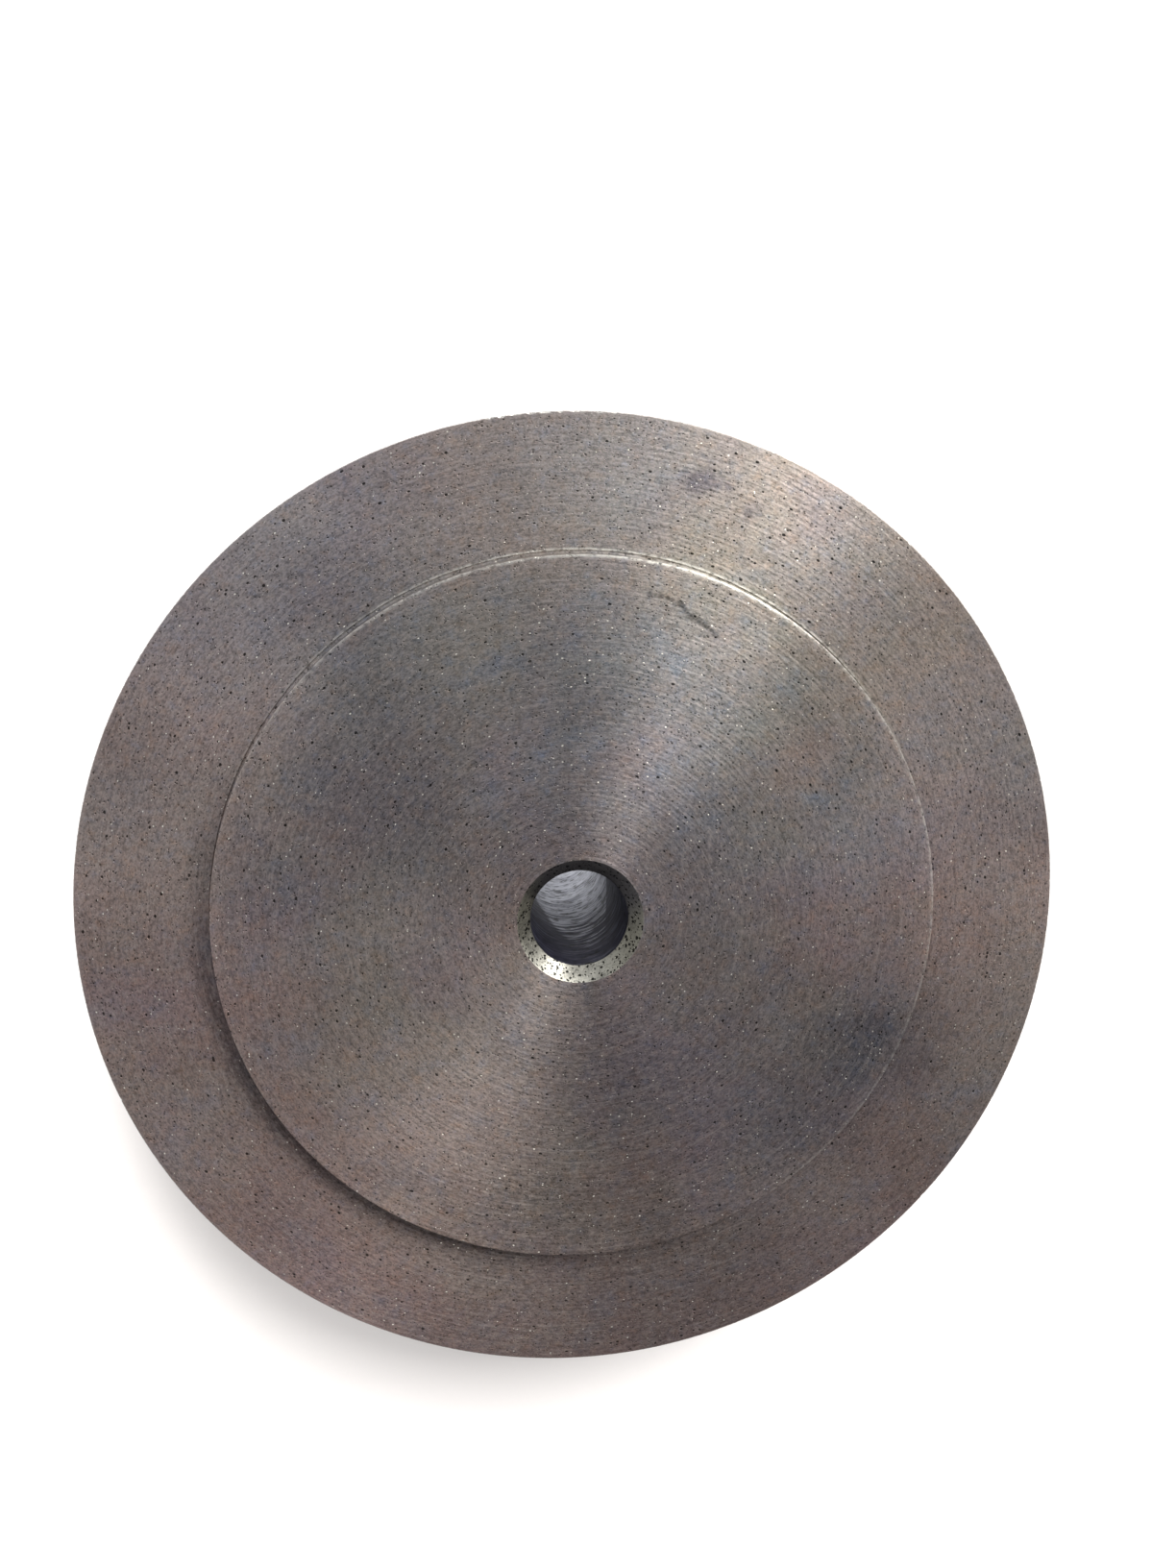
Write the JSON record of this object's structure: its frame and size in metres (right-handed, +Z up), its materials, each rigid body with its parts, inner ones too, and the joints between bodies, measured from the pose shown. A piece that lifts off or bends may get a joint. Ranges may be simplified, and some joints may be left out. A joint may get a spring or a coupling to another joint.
{
  "type": "banding wheel",
  "caption": "Cast-iron banding wheel: round stepped head with a chamfered open centre bore, turning freely on ball bearings in a flared round pedestal on rubber feet.",
  "frame": {"origin": "on the wheel's axis, in the plane that the rubber feet stand on", "axes": "+Z up along the wheel's axis; +Y passes through the first rubber foot"},
  "size_m": [0.15, 0.15, 0.088],
  "materials": {
    "turned_iron": "turned bare grey iron with a thin brown oxide",
    "painted_iron": "semi-matt dark grey machine enamel over a sand casting",
    "bearing_steel": "ground and polished",
    "cage_steel": "pressed, satin",
    "spring_steel": "dark phosphated spring steel",
    "zinc_steel": "zinc plated, satin",
    "felt": "dense grey wool felt, oiled",
    "rubber": "matt moulded"
  },
  "bodies": {
    "base": {"pedestal_base": "painted_iron", "upper_outer_race": "bearing_steel", "upper_shield_top": "bearing_steel", "upper_shield_bottom": "bearing_steel", "lower_outer_race": "bearing_steel", "lower_shield_top": "bearing_steel", "lower_shield_bottom": "bearing_steel", "felt_seal": "felt", "seal_retainer": "zinc_steel", "bottom_cover": "zinc_steel", "rubber_foot_1": "rubber", "rubber_foot_2": "rubber", "rubber_foot_3": "rubber", "foot_screw_1": "zinc_steel", "foot_screw_2": "zinc_steel", "foot_screw_3": "zinc_steel"},
    "head": {"wheel_head": "turned_iron", "upper_inner_race": "bearing_steel", "lower_inner_race": "bearing_steel", "spacer_sleeve": "zinc_steel", "end_washer": "zinc_steel", "retaining_ring": "spring_steel"},
    "upper_balls": {"upper_cage": "cage_steel", "upper_ball_1": "bearing_steel", "upper_ball_2": "bearing_steel", "upper_ball_3": "bearing_steel", "upper_ball_4": "bearing_steel", "upper_ball_5": "bearing_steel", "upper_ball_6": "bearing_steel", "upper_ball_7": "bearing_steel", "upper_ball_8": "bearing_steel", "upper_ball_9": "bearing_steel"},
    "lower_balls": {"lower_cage": "cage_steel", "lower_ball_1": "bearing_steel", "lower_ball_2": "bearing_steel", "lower_ball_3": "bearing_steel", "lower_ball_4": "bearing_steel", "lower_ball_5": "bearing_steel", "lower_ball_6": "bearing_steel", "lower_ball_7": "bearing_steel", "lower_ball_8": "bearing_steel", "lower_ball_9": "bearing_steel"}
  },
  "joints": [
    {"name": "head_spin", "type": "hinge", "parent": "base", "child": "head", "pos_m": [0, 0, 0.069], "axis": [0, 0, 1], "continuous": true},
    {"name": "upper_ball_roll", "type": "hinge", "parent": "base", "child": "upper_balls", "pos_m": [0, 0, 0.0615], "axis": [0, 0, 1], "continuous": true},
    {"name": "lower_ball_roll", "type": "hinge", "parent": "base", "child": "lower_balls", "pos_m": [0, 0, 0.0385], "axis": [0, 0, 1], "continuous": true}
  ],
  "couplings": [
    {"joint": "upper_ball_roll", "follows": "head_spin", "ratio": 0.3983},
    {"joint": "lower_ball_roll", "follows": "head_spin", "ratio": 0.3983}
  ]
}
